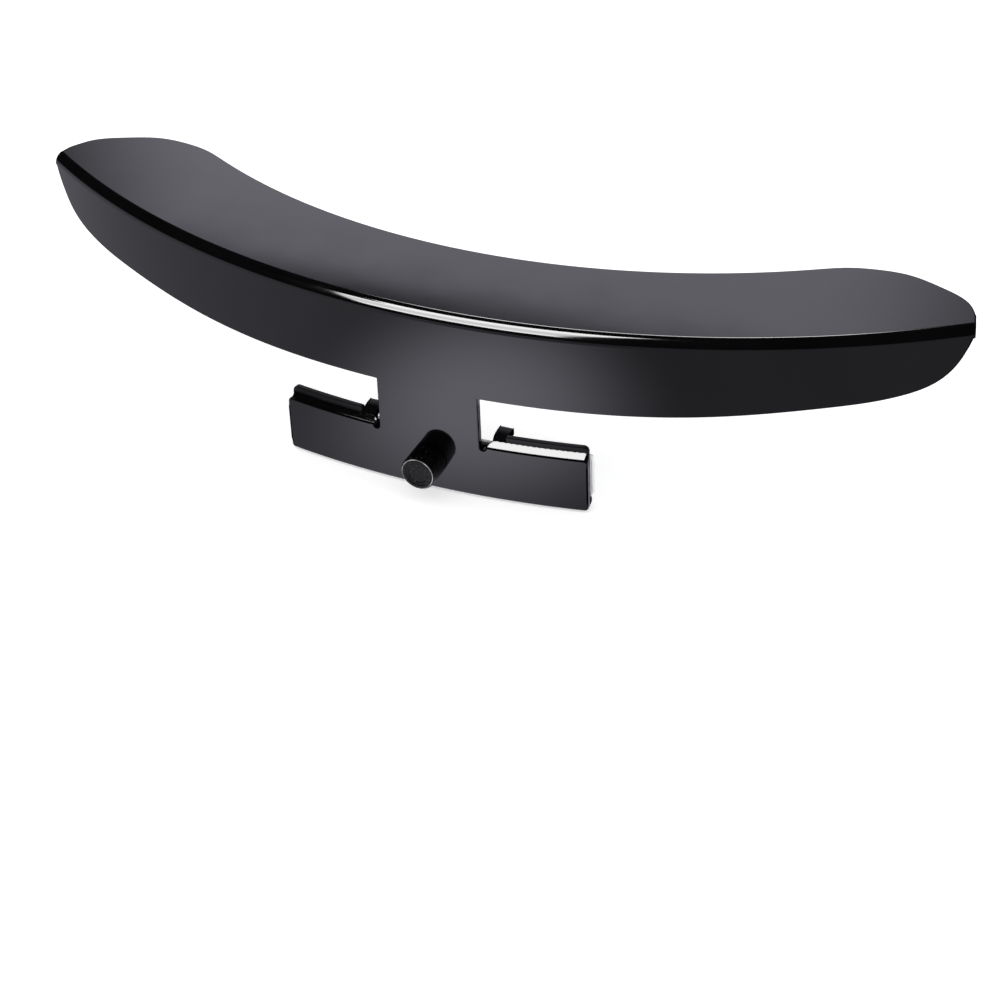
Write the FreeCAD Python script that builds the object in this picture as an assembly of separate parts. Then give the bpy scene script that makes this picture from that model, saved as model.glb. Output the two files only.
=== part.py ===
"""Crescent trim cap: a curved L-section moulding with a T-shaped foot that is taped and pinned in place.

Millimetres. +X runs along the crescent, -Y is its convex front, +Z is up. The origin is the point where
the locating pin's axis passes through the seat, the free face of the tape that goes against the mating
part. Every upright wall follows one cylinder about a vertical axis behind the part.
"""
import FreeCAD
import Part
import math
import os

V = FreeCAD.Vector
UP = V(0, 0, 1)
BACK = V(0, 1, 0)
RIGHT = V(1, 0, 0)

# Moulded shell
LENGTH = 250.0              # tip to tip
SAGITTA = 39.0              # how far the tips lie behind the middle of the front face
WALL = 2.15                 # wall thickness
CREASE_RADIUS = 2.7         # outer round between the top plate and the front wall
PIN_DROP = 42.2             # from the top face down to the pin's axis
PLATE_DEPTH = 31.0          # top plate, front to rear, at the middle
PLATE_REAR_RADIUS = 168.0   # concave rear edge of the top plate
PLATE_ARC_END = 80.0        # where that edge leaves its arc and turns round the wide end
# (x, distance behind the middle of the front face) round the wide end to the tip
PLATE_END = [(88.0, 55.3), (95.0, 56.95), (103.0, 57.15), (112.0, 54.2), (120.0, 49.5), (123.7, 42.9)]
# (x, wall height) from the tongue to the tip
WALL_END = [(45.0, 21.9), (70.0, 20.85), (95.0, 18.7), (110.0, 16.8), (118.0, 13.5), (122.4, 7.9), (124.4, 2.3)]
WALL_HEIGHT = 22.0          # at the tongue

# Foot, heights measured from the pin's axis
TONGUE_HALF_WIDTH = 13.5
FOOT_HALF_WIDTH = 40.65
FOOT_TOP = 6.5
FOOT_BOTTOM = -8.2
FOOT_CORNER_RADIUS = 1.0
RELIEF_RADIUS = 0.9         # round relief where the tongue runs into the foot

# Carrier rail bonded behind the foot
RAIL_THICKNESS = 1.45
RAIL_HALF_WIDTH = 40.1
RAIL_TOP = 5.9
RAIL_CORNER_RADIUS = 0.4
WING_TOP = 9.0
WING_INNER = 19.4
WING_CORNER_RADIUS = 1.4
FINGER_WIDTH = 3.5          # the hook finger stands on the rail at each wing's inner end
FINGER_REACH = 5.1          # how far its tip lies behind the rail's front face
FINGER_TOP = 8.5
FINGER_THICKNESS = 1.6
FINGER_BEND = 3.2           # length of its curved front, measured along Y
FINGER_ROOT = 1.5           # how far its root runs down into the rail
LIP_REACH = 0.85            # ledge along the bottom of the rail, under the tape
LIP_HEIGHT = 1.7
GROOVE_WIDTH = 0.9          # groove along the underside, between the foot and the rail
GROOVE_DEPTH = 1.1
GROOVE_END = 39.2
BRIDGE_INNER = 19.6         # the groove is closed by a bridge between these two
BRIDGE_OUTER = 28.2
BOSS_X = 26.3               # round snap boss on each bridge
BOSS_RADIUS = 1.3
BOSS_HEIGHT = 0.35

# Tape: foam core and release liner, with a slot that lets them pass round the pin
TAPE_WIDTH = 12.0
TAPE_HALF_LENGTH = 40.3
TAPE_TOP = 5.75
TAPE_CORNER_RADIUS = 0.8
FOAM_THICKNESS = 0.8
LINER_THICKNESS = 0.2
LINER_GAP = 0.12
LINER_OVERHANG = 0.2        # the liner is cut a little longer than the foam
SLOT_RADIUS = 3.85          # round the pin
SLOT_HALF_WIDTH = 3.1

# Locating pin: head in front of the foot, band pressed into the foot, shank behind the seat
HEAD_RADIUS = 4.55
HEAD_REACH = 7.2            # how far the head stands out of the foot's front face
HEAD_CHAMFER = 0.5
HEAD_GAP = 0.1              # between the head and the foot's front face
SHANK_RADIUS = 3.3
SHANK_REACH = 10.3          # how far the shank stands out of the seat
SHANK_CHAMFER = 0.35
BAND_RADIUS = 3.6
PRESS = 0.02                # the band's holes are this much smaller in radius

# Worked out from the dimensions above
HALF_LENGTH = LENGTH / 2
FRONT_RADIUS = (HALF_LENGTH ** 2 + SAGITTA ** 2) / (2 * SAGITTA)
RAIL_FRONT_RADIUS = FRONT_RADIUS - WALL
RAIL_REAR_RADIUS = RAIL_FRONT_RADIUS - RAIL_THICKNESS
FOAM_REAR_RADIUS = RAIL_REAR_RADIUS - FOAM_THICKNESS
LINER_FRONT_RADIUS = FOAM_REAR_RADIUS - LINER_GAP
LINER_REAR_RADIUS = LINER_FRONT_RADIUS - LINER_THICKNESS
AXIS_Y = LINER_REAR_RADIUS
FRONT_Y = AXIS_Y - FRONT_RADIUS
TIP_ANGLE = math.degrees(math.asin(HALF_LENGTH / FRONT_RADIUS))
TAPE_BOTTOM = TAPE_TOP - TAPE_WIDTH
SPARE = 10.0                # extra length on every cutting shape


def ring(outer_radius, inner_radius, bottom, top):
    """Upright tube about the part's vertical axis."""
    base = V(0, AXIS_Y, bottom)
    outer = Part.makeCylinder(outer_radius, top - bottom, base, UP)
    return outer.cut(Part.makeCylinder(inner_radius, top - bottom, base, UP))


def front_prism(wire):
    """A front-view outline run from ahead of the part to its vertical axis."""
    moved = wire.copy()
    moved.translate(V(0, FRONT_Y - SPARE, 0))
    return Part.Face(moved).extrude(BACK * (FRONT_RADIUS + SPARE))


def rounded_outline(corners):
    """Closed front-view wire through (x, z, corner radius) points."""
    turns = []
    for i, (x, z, radius) in enumerate(corners):
        here = V(x, 0, z)
        before = V(corners[i - 1][0], 0, corners[i - 1][1]) - here
        after = V(corners[(i + 1) % len(corners)][0], 0, corners[(i + 1) % len(corners)][1]) - here
        half_angle = before.getAngle(after) / 2
        before.normalize()
        after.normalize()
        reach = radius / math.tan(half_angle)
        middle = here + (before + after).normalize() * (radius / math.sin(half_angle) - radius)
        turns.append((here + before * reach, middle, here + after * reach))
    edges = []
    for i, (start, middle, end) in enumerate(turns):
        edges.append(Part.Arc(start, middle, end).toShape())
        edges.append(Part.LineSegment(end, turns[(i + 1) % len(turns)][0]).toShape())
    return Part.Wire(edges)


def spline(points, start_tangent=None, end_tangent=None):
    """Smooth edge through the points, with the given directions at its ends."""
    curve = Part.BSplineCurve()
    if start_tangent:
        curve.interpolate(Points=points, InitialTangent=start_tangent, FinalTangent=end_tangent)
    else:
        curve.interpolate(points)
    return curve.toShape()


def pin_hole(radius, length=4 * SPARE):
    """Cylinder along the pin's axis, centred on the seat."""
    return Part.makeCylinder(radius, length, V(0, -length / 2, 0), BACK)


def l_section_ring():
    """Front wall and top plate as one L-section, turned about the vertical axis past both tips."""
    wall_bottom = FOOT_BOTTOM - SPARE
    plate_rear = FRONT_Y + PLATE_DEPTH + SPARE
    corner_y = FRONT_Y + CREASE_RADIUS
    corner_z = PIN_DROP - CREASE_RADIUS
    diagonal = CREASE_RADIUS * math.sqrt(0.5)
    round_corner = Part.Arc(V(0, FRONT_Y, corner_z), V(0, corner_y - diagonal, corner_z + diagonal),
                            V(0, corner_y, PIN_DROP))
    straights = [V(0, corner_y, PIN_DROP), V(0, plate_rear, PIN_DROP), V(0, plate_rear, PIN_DROP - WALL),
                 V(0, FRONT_Y + WALL, PIN_DROP - WALL), V(0, FRONT_Y + WALL, wall_bottom),
                 V(0, FRONT_Y, wall_bottom), V(0, FRONT_Y, corner_z)]
    section = Part.Wire([round_corner.toShape()] + Part.makePolygon(straights).Edges)
    sweep = TIP_ANGLE + 2
    section.rotate(V(0, AXIS_Y, 0), UP, -sweep)
    return Part.Face(section).revolve(V(0, AXIS_Y, 0), UP, 2 * sweep)


def plan_prism():
    """Plan outline of the crescent's rear edge, left open in front, run through the whole height."""
    low = FOOT_BOTTOM - SPARE
    centre_y = FRONT_Y + PLATE_DEPTH + PLATE_REAR_RADIUS

    def rear(x):
        return V(x, centre_y - math.sqrt(PLATE_REAR_RADIUS ** 2 - x ** 2), low)

    right = [rear(PLATE_ARC_END)] + [V(x, FRONT_Y + y, low) for x, y in PLATE_END]
    right.append(V(HALF_LENGTH, FRONT_Y + SAGITTA, low))
    slope = PLATE_ARC_END / math.sqrt(PLATE_REAR_RADIUS ** 2 - PLATE_ARC_END ** 2)
    right_edge = spline(right, V(1, slope, 0), V(0.1, -1, 0))
    left_edge = right_edge.mirror(V(0, 0, 0), RIGHT)
    middle = Part.Arc(rear(-PLATE_ARC_END), rear(0), rear(PLATE_ARC_END)).toShape()
    tip = right[-1]
    ahead = FRONT_Y - SPARE
    closing = Part.makePolygon([tip, V(tip.x, ahead, low), V(-tip.x, ahead, low), V(-tip.x, tip.y, low)])
    outline = Part.Wire(Part.__sortEdges__([left_edge, middle, right_edge] + closing.Edges))
    return Part.Face(outline).extrude(UP * (PIN_DROP - low + SPARE))


def shell_front_view():
    """Front outline: wall tapering to both tips, tongue, and T-foot with rounded corners."""
    wall_z = PIN_DROP - WALL_HEIGHT
    lower = [V(TONGUE_HALF_WIDTH, 0, wall_z)] + [V(x, 0, PIN_DROP - height) for x, height in WALL_END]
    lower.append(V(HALF_LENGTH, 0, PIN_DROP))
    right_edge = spline(lower, V(1, 0, 0), V(0.05, 0, 1))
    left_edge = right_edge.mirror(V(0, 0, 0), RIGHT)
    above = PIN_DROP + SPARE
    cap = Part.makePolygon([V(HALF_LENGTH, 0, PIN_DROP), V(HALF_LENGTH, 0, above),
                            V(-HALF_LENGTH, 0, above), V(-HALF_LENGTH, 0, PIN_DROP)])
    base = Part.LineSegment(V(-TONGUE_HALF_WIDTH, 0, wall_z), V(TONGUE_HALF_WIDTH, 0, wall_z)).toShape()
    wall = Part.Wire(Part.__sortEdges__([left_edge, base, right_edge] + cap.Edges))
    foot = rounded_outline([(-FOOT_HALF_WIDTH, FOOT_BOTTOM, FOOT_CORNER_RADIUS),
                            (FOOT_HALF_WIDTH, FOOT_BOTTOM, FOOT_CORNER_RADIUS),
                            (FOOT_HALF_WIDTH, FOOT_TOP, FOOT_CORNER_RADIUS),
                            (-FOOT_HALF_WIDTH, FOOT_TOP, FOOT_CORNER_RADIUS)])
    tongue = Part.makeBox(2 * TONGUE_HALF_WIDTH, FRONT_RADIUS + SPARE, wall_z - FOOT_TOP + 2 * SPARE / 4,
                          V(-TONGUE_HALF_WIDTH, FRONT_Y - SPARE, FOOT_TOP - SPARE / 4))
    return front_prism(wall).fuse([front_prism(foot), tongue])


def crescent_shell():
    """Gloss moulding: top plate, front wall, tongue and foot in one piece."""
    shell = l_section_ring().common(plan_prism()).common(shell_front_view())
    reliefs = [Part.makeCylinder(RELIEF_RADIUS, 4 * SPARE,
                                 V(side * (TONGUE_HALF_WIDTH + RELIEF_RADIUS), -2 * SPARE, FOOT_TOP), BACK)
               for side in (-1, 1)]
    return shell.cut(reliefs + [pin_hole(BAND_RADIUS - PRESS)])


def hook_finger():
    """Right-hand hook finger: rises from the rail, bends back and reaches over the tape's edge."""
    face = AXIS_Y - math.sqrt(RAIL_FRONT_RADIUS ** 2 - WING_INNER ** 2)
    rear = face + RAIL_THICKNESS
    root_rear = face + RAIL_THICKNESS / 2
    tip = face + FINGER_REACH
    x = WING_INNER - FINGER_WIDTH
    underside = FINGER_TOP - FINGER_THICKNESS
    bend_start = V(x, face, RAIL_TOP)
    bend_end = V(x, face + FINGER_BEND, FINGER_TOP)
    bend_middle = V(x, face + FINGER_BEND * 0.32, RAIL_TOP + (FINGER_TOP - RAIL_TOP) * 0.7)
    bend = Part.Arc(bend_start, bend_middle, bend_end).toShape()
    sides = Part.makePolygon([bend_end, V(x, tip, FINGER_TOP), V(x, tip, underside),
                              V(x, rear + FINGER_THICKNESS / 2, underside), V(x, rear, RAIL_TOP),
                              V(x, root_rear, RAIL_TOP), V(x, root_rear, RAIL_TOP - FINGER_ROOT),
                              V(x, face, RAIL_TOP - FINGER_ROOT), bend_start])
    return Part.Face(Part.Wire([bend] + sides.Edges)).extrude(RIGHT * FINGER_WIDTH)


def groove(low_x, high_x):
    """Length of the underside groove between two stations, with round ends."""
    radius = GROOVE_DEPTH * 0.49
    outline = rounded_outline([(low_x, FOOT_BOTTOM - SPARE, radius), (high_x, FOOT_BOTTOM - SPARE, radius),
                               (high_x, FOOT_BOTTOM + GROOVE_DEPTH, radius),
                               (low_x, FOOT_BOTTOM + GROOVE_DEPTH, radius)])
    band = ring(RAIL_FRONT_RADIUS + SPARE, RAIL_FRONT_RADIUS - GROOVE_WIDTH, FOOT_BOTTOM - SPARE, FOOT_TOP)
    return band.common(front_prism(outline))


def foot_carrier():
    """Rail behind the foot: raised wings, hook fingers, a ledge under the tape and a snap bridge each side."""
    outline = rounded_outline([(-RAIL_HALF_WIDTH, FOOT_BOTTOM, RAIL_CORNER_RADIUS),
                               (RAIL_HALF_WIDTH, FOOT_BOTTOM, RAIL_CORNER_RADIUS),
                               (RAIL_HALF_WIDTH, WING_TOP, WING_CORNER_RADIUS),
                               (WING_INNER, WING_TOP, RAIL_CORNER_RADIUS),
                               (WING_INNER, RAIL_TOP, RAIL_CORNER_RADIUS),
                               (-WING_INNER, RAIL_TOP, RAIL_CORNER_RADIUS),
                               (-WING_INNER, WING_TOP, RAIL_CORNER_RADIUS),
                               (-RAIL_HALF_WIDTH, WING_TOP, WING_CORNER_RADIUS)])
    rail = ring(RAIL_FRONT_RADIUS, RAIL_REAR_RADIUS, FOOT_BOTTOM, WING_TOP).common(front_prism(outline))
    ledge_top = FOOT_BOTTOM + LIP_HEIGHT
    ledge_outline = rounded_outline([(-RAIL_HALF_WIDTH, FOOT_BOTTOM, RAIL_CORNER_RADIUS),
                                     (RAIL_HALF_WIDTH, FOOT_BOTTOM, RAIL_CORNER_RADIUS),
                                     (RAIL_HALF_WIDTH, ledge_top, RAIL_CORNER_RADIUS),
                                     (-RAIL_HALF_WIDTH, ledge_top, RAIL_CORNER_RADIUS)])
    ledge = ring(RAIL_REAR_RADIUS + RAIL_THICKNESS / 2, RAIL_REAR_RADIUS - LIP_REACH, FOOT_BOTTOM, ledge_top)
    ledge = ledge.common(front_prism(ledge_outline))
    finger = hook_finger()
    boss_y = AXIS_Y - math.sqrt(RAIL_FRONT_RADIUS ** 2 - BOSS_X ** 2)
    boss = Part.makeCylinder(BOSS_RADIUS, BOSS_HEIGHT, V(BOSS_X, boss_y, FOOT_BOTTOM - BOSS_HEIGHT), UP)
    right_side = [finger, boss]
    left_side = [piece.mirror(V(0, 0, 0), RIGHT) for piece in right_side]
    carrier = rail.fuse([ledge] + right_side + left_side)
    grooves = [groove(-BRIDGE_INNER, BRIDGE_INNER), groove(BRIDGE_OUTER, GROOVE_END),
               groove(-GROOVE_END, -BRIDGE_OUTER)]
    carrier = carrier.cut(grooves + [pin_hole(BAND_RADIUS - PRESS)])
    return carrier.removeSplitter()


def tape_layer(outer_radius, inner_radius, half_length):
    """One layer of the tape, slotted from its lower edge up round the pin."""
    outline = rounded_outline([(-half_length, TAPE_BOTTOM, TAPE_CORNER_RADIUS),
                               (half_length, TAPE_BOTTOM, TAPE_CORNER_RADIUS),
                               (half_length, TAPE_TOP, TAPE_CORNER_RADIUS),
                               (-half_length, TAPE_TOP, TAPE_CORNER_RADIUS)])
    layer = ring(outer_radius, inner_radius, TAPE_BOTTOM, TAPE_TOP).common(front_prism(outline))
    slot = Part.makeBox(2 * SLOT_HALF_WIDTH, 4 * SPARE, SPARE, V(-SLOT_HALF_WIDTH, -2 * SPARE, -SPARE))
    return layer.cut([pin_hole(SLOT_RADIUS), slot])


def foam_tape():
    """Foam core of the double-sided tape, stuck to the rail."""
    return tape_layer(RAIL_REAR_RADIUS, FOAM_REAR_RADIUS, TAPE_HALF_LENGTH)


def release_liner():
    """Peel-off liner on the tape's free face."""
    return tape_layer(LINER_FRONT_RADIUS, LINER_REAR_RADIUS, TAPE_HALF_LENGTH + LINER_OVERHANG)


def locating_pin():
    """Headed round pin through the foot, chamfered at both ends."""
    front = FRONT_Y - HEAD_REACH
    head_back = FRONT_Y - HEAD_GAP
    half_profile = [V(0, front, 0), V(HEAD_RADIUS - HEAD_CHAMFER, front, 0),
                    V(HEAD_RADIUS, front + HEAD_CHAMFER, 0), V(HEAD_RADIUS, head_back, 0),
                    V(BAND_RADIUS, head_back, 0), V(BAND_RADIUS, 0, 0), V(SHANK_RADIUS, 0, 0),
                    V(SHANK_RADIUS, SHANK_REACH - SHANK_CHAMFER, 0),
                    V(SHANK_RADIUS - SHANK_CHAMFER, SHANK_REACH, 0), V(0, SHANK_REACH, 0), V(0, front, 0)]
    return Part.Face(Part.makePolygon(half_profile)).revolve(V(0, 0, 0), BACK, 360)


def main():
    os.makedirs("parts", exist_ok=True)
    nodes = {"crescent_shell": crescent_shell, "foot_carrier": foot_carrier, "foam_tape": foam_tape,
             "release_liner": release_liner, "locating_pin": locating_pin}
    for name, make in nodes.items():
        shape = make()
        print(name, "solids", len(shape.Solids), "valid", shape.isValid(), "volume", round(shape.Volume, 1))
        solid = shape.Solids[0] if len(shape.Solids) == 1 else shape
        solid.exportStep("parts/" + name + ".step")


main()
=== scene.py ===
"""Looks of the crescent trim cap: fine surfaces, finishes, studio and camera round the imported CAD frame.

Lengths are millimetres, turned into Blender's metres where a mesh or an object is made. Thin parts are
Sheets: smooth open surfaces of welded patches that are then given their thickness and rounded edges.
"""
import math

import bpy
import numpy as np
from mathutils import Matrix, Vector


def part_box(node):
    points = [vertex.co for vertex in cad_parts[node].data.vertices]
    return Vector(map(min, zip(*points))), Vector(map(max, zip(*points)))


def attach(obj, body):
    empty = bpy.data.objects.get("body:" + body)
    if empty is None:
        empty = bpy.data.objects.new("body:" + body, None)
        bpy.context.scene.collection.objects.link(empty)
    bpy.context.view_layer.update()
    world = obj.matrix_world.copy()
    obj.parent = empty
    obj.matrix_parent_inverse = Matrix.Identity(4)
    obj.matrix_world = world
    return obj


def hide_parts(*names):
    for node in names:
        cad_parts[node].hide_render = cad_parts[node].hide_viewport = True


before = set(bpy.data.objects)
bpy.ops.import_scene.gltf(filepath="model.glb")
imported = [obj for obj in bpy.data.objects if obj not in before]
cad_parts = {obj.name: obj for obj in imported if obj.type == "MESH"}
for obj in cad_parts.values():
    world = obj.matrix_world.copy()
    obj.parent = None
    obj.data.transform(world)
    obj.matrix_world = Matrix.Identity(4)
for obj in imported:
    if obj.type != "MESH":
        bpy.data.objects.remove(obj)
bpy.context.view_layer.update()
MM = 0.001


def box_mm(node):
    """Lowest and highest corner of a CAD node, in millimetres."""
    low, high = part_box(node)
    return low / MM, high / MM


SHELL_LOW, SHELL_HIGH = box_mm("crescent_shell")
CARRIER_HIGH = box_mm("foot_carrier")[1]
FOAM_LOW, FOAM_HIGH = box_mm("foam_tape")
LINER_LOW, LINER_HIGH = box_mm("release_liner")
PIN_LOW, PIN_HIGH = box_mm("locating_pin")

# Shell, heights measured from the pin's axis
HALF_LENGTH = SHELL_HIGH.x
TOP = SHELL_HIGH.z
FRONT = SHELL_LOW.y
FOOT_BOTTOM = SHELL_LOW.z
SAGITTA = 39.0
RING = (HALF_LENGTH ** 2 + SAGITTA ** 2) / (2 * SAGITTA)
AXIS_Y = FRONT + RING
TIP_ANGLE = math.asin(HALF_LENGTH / RING)
TIP_SHARE = 0.9977          # the shell stops this far along its arc, at a blunt end
TIP_HEIGHT = 2.8
TIP_FACES = np.array([0.963, 0.270, 0.0])    # the right tip's blunt end, seen from above
TIP_BLEND = 0.93            # where the sections start to turn towards the blunt end
WALL = 2.15
CREASE_RADIUS = 2.7
EDGE_ROUND = 0.45
PLATE_DEPTH = 31.0
PLATE_REAR_RADIUS = 168.0
PLATE_ARC_END = 80.0
REAR_LAG = 0.65             # stations on the rear edge lag behind those on the front face by this much
# (x, distance behind the middle of the front face) round the plate's wide end
PLATE_END = [(88.0, 55.3), (95.0, 56.95), (103.0, 57.15), (112.0, 54.2), (120.0, 49.5), (123.7, 42.9)]
# (x, wall height) from the tongue to the tip
WALL_END = [(45.0, 21.9), (70.0, 20.85), (95.0, 18.7), (110.0, 16.8), (118.0, 13.5), (122.4, 7.9),
            (124.4, 2.3)]
WALL_HEIGHT = 22.0
TONGUE = 13.5
FOOT_HALF_WIDTH = 40.65
FOOT_TOP = 6.5
FOOT_CORNER = 1.0
RELIEF = 0.9
RAMP_TOP = 7.55
RAMP_FRONT = 0.5            # behind the foot's front face
RAMP_WANDER = 0.12
RAMP_RUN_IN = 1.0           # next to the tongue the ramp grows over this width
RAMP_THICKNESS = 0.5
RAMP_ROUND = 0.08
FILM = 0.012                # polish over the crease

# Carrier behind the foot
RAIL_FRONT = RING - WALL
RAIL_THICKNESS = 1.45
RAIL_HALF_WIDTH = CARRIER_HIGH.x
RAIL_TOP = 5.9
RAIL_ROUND = 0.22
WING_TOP = CARRIER_HIGH.z
WING_INNER = 19.4
WING_CORNER = 1.4
WING_INNER_ROUND = 0.4      # at the top of the wing's inner end
GROOVE_WIDTH = 0.9
GROOVE_DEPTH = 1.1
GROOVE_END = 39.2
GROOVE_RUN_OUT = 0.5        # the groove's end rounds up over this length
BRIDGE = (19.6, 28.2)       # the inner and outer end of the snap bridge across the groove
LEDGE_REACH = 0.85
LEDGE_HEIGHT = 1.7
LEDGE_CORNER = 0.4
LEDGE_ROUND = 0.2
FINGER_WIDTH = 3.5
FINGER_REACH = 5.1
FINGER_TOP = 8.5
FINGER_THICKNESS = 1.6
FINGER_ROUND = 0.2
BEAD_WIDTH = 0.22
BEAD_HEIGHT = 0.1
BEAD_ROUND = 0.08
BOSS_X = 26.3
BOSS_RADIUS = 1.3
BOSS_HEIGHT = 0.35

# Tape and pin
FOAM_FRONT = RAIL_FRONT - RAIL_THICKNESS
FOAM_THICKNESS = 0.8
FOAM_ROUND = 0.12
FOAM_WANDER = 0.05          # how far the cut edges stray
ADHESIVE_GAP = 0.12
LINER_FRONT = FOAM_FRONT - FOAM_THICKNESS - ADHESIVE_GAP
LINER_THICKNESS = 0.2
LINER_ROUND = 0.05
LINER_WANDER = 0.06
LINER_SHORT = (0.18, 0.1)   # how far the film stops inside the CAD liner's lower and upper edge
TAPE_CORNER = 0.8
SLOT_RADIUS = 3.85
FOAM_SLOT_RADIUS = 3.5
SLOT_HALF_WIDTH = 3.1
HEAD_RADIUS = PIN_HIGH.x
PRESS_RADIUS = 3.6          # the band that sits in the foot and the rail
PRESS_END = -2.2
SHANK_RADIUS = 3.3


def unit(vector):
    return vector / np.linalg.norm(vector)


def smooth_curve(points, first, last, steps=24):
    """Dense points along the cubic spline through the given ones, from direction first to direction last."""
    points = np.array(points, float)
    count = len(points)
    spans = np.linalg.norm(np.diff(points, axis=0), axis=1)
    system = np.eye(count)
    wanted = np.zeros_like(points)
    wanted[0] = unit(np.array(first, float))
    wanted[-1] = unit(np.array(last, float))
    for i in range(1, count - 1):
        near, far = 1 / spans[i - 1], 1 / spans[i]
        system[i, i - 1:i + 2] = near, 2 * (near + far), far
        wanted[i] = 3 * ((points[i] - points[i - 1]) * near ** 2 + (points[i + 1] - points[i]) * far ** 2)
    slopes = np.linalg.solve(system, wanted)
    curve = []
    for start, end, leave, arrive, span in zip(points, points[1:], slopes, slopes[1:], spans):
        for t in np.linspace(0, 1, steps, endpoint=False):
            curve.append(start * (1 - t) ** 2 * (1 + 2 * t) + end * t ** 2 * (3 - 2 * t)
                         + span * t * (1 - t) * (leave * (1 - t) - arrive * t))
    return np.array(curve + [points[-1]])


def on_ring(x, z, radius):
    """Point on the upright cylinder of that radius, and the cylinder's outward direction there."""
    outward = np.array([x / radius, -math.sqrt(1 - (x / radius) ** 2), 0.0])
    return np.array([0.0, AXIS_Y, z]) + outward * radius, outward


class Sheet:
    """Open surface of welded patches. Each vertex holds its point, outward normal, depth and edge round."""

    def __init__(self):
        self.index = {}
        self.cells = []
        self.faces = []

    def vertex(self, cell):
        key = tuple(np.round(cell[0], 4) + 0.0)
        if key not in self.index:
            self.index[key] = len(self.cells)
            self.cells.append(cell)
        return self.index[key]

    def patch(self, columns):
        """Faces between neighbouring columns of cells, left to right and upwards as seen from outside."""
        rows = [[self.vertex(cell) for cell in column] for column in columns]
        for left, right in zip(rows, rows[1:]):
            for j in range(len(left) - 1):
                corners = list(dict.fromkeys([left[j], right[j], right[j + 1], left[j + 1]]))
                if len(corners) > 2:
                    self.faces.append(corners)

    def band(self, stations, low, high, rows, radius, depth, rounding):
        """Patch of the upright cylinder between two heights that depend on x."""
        columns = []
        for x in stations:
            heights = np.linspace(low(x), high(x), rows + 1)
            columns.append([(*on_ring(x, z, radius), depth, rounding) for z in heights])
        self.patch(columns)

    def solid(self, name, rim_steps=3):
        """Closed mesh object: outer skin, rounded rim and inner skin. Inner faces take material slot 1."""
        points = np.array([c[0] for c in self.cells])
        normals = np.array([unit(c[1]) for c in self.cells])
        depths = np.array([c[2] for c in self.cells])
        rounds = np.minimum(np.array([c[3] for c in self.cells]), depths * 0.45)
        directed = {(a, b) for f in self.faces for a, b in zip(f, f[1:] + f[:1])}
        rim = [(a, b) for a, b in directed if (b, a) not in directed]
        following = dict(rim)
        preceding = {b: a for a, b in rim}
        rim_points = sorted(following)
        sideways = {}
        for i in rim_points:
            arrive = np.cross(unit(points[i] - points[preceding[i]]), normals[i])
            leave = np.cross(unit(points[following[i]] - points[i]), normals[i])
            sideways[i] = (arrive + leave) / max(0.35, 1 + arrive @ leave)
        outer = points.copy()
        inner = points - normals * depths[:, None]
        for i in rim_points:
            outer[i] -= rounds[i] * sideways[i]
            inner[i] -= rounds[i] * sideways[i]
        all_points = [*outer, *inner]
        all_normals = [*normals, *-normals]
        count = len(points)
        rings = [{i: i for i in rim_points}]
        quarter = np.linspace(0, math.pi / 2, rim_steps + 1)
        turns = [(angle, 1) for angle in quarter[1:]] + [(angle, -1) for angle in quarter[:0:-1]]
        for angle, side in turns:
            ring = {}
            for i in rim_points:
                radius, normal, out = rounds[i], normals[i], sideways[i]
                surface = points[i] if side > 0 else points[i] - normal * depths[i]
                ring[i] = len(all_points)
                all_points.append(surface - radius * out * (1 - math.sin(angle))
                                  - side * radius * normal * (1 - math.cos(angle)))
                all_normals.append(unit(side * normal * math.cos(angle) + unit(out) * math.sin(angle)))
            rings.append(ring)
        rings.append({i: i + count for i in rim_points})
        faces = [list(f) for f in self.faces]
        for near, far in zip(rings, rings[1:]):
            faces += [[near[a], far[a], far[b], near[b]] for a, b in rim]
        outside = len(faces)
        faces += [[i + count for i in reversed(f)] for f in self.faces]
        return mesh_object(name, all_points, faces, all_normals, outside)


def mesh_object(name, points, faces, normals=None, second_from=None):
    """Mesh object from millimetre points, shaded smooth. Faces from second_from on use material slot 1."""
    mesh = bpy.data.meshes.new(name)
    mesh.from_pydata([tuple(np.array(p) * MM) for p in points], [], faces)
    mesh.polygons.foreach_set("use_smooth", [True] * len(mesh.polygons))
    if second_from is not None:
        slots = [0] * second_from + [1] * (len(faces) - second_from)
        mesh.polygons.foreach_set("material_index", slots)
    if normals is not None:
        mesh.normals_split_custom_set_from_vertices([tuple(n) for n in normals])
    thing = bpy.data.objects.new(name, mesh)
    bpy.context.scene.collection.objects.link(thing)
    return thing


def joined(name, things):
    """One object from several, with their normals kept."""
    bpy.ops.object.select_all(action="DESELECT")
    for thing in things:
        thing.select_set(True)
    bpy.context.view_layer.objects.active = things[0]
    bpy.ops.object.join()
    things[0].name = name
    return things[0]


def lathe(name, profile, centre, axis, segments=128, sharp=35):
    """Solid of revolution from (radius, distance along axis) points."""
    axis = Vector(axis)
    side = axis.orthogonal().normalized()
    other = axis.cross(side)
    points = []
    faces = []
    for radius, along in profile:
        for k in range(segments):
            angle = 2 * math.pi * k / segments
            offset = side * (radius * math.cos(angle)) + other * (radius * math.sin(angle))
            points.append(np.array(Vector(centre) + axis * along + offset))
    for j in range(len(profile) - 1):
        for k in range(segments):
            a, b = j * segments + k, j * segments + (k + 1) % segments
            faces.append([a, b, b + segments, a + segments])
    faces.append(list(range(segments - 1, -1, -1)))
    faces.append([(len(profile) - 1) * segments + k for k in range(segments)])
    thing = mesh_object(name, points, faces)
    thing.data.set_sharp_from_angle(angle=math.radians(sharp))
    return thing


# ---------------------------------------------------------------- shell

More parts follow.
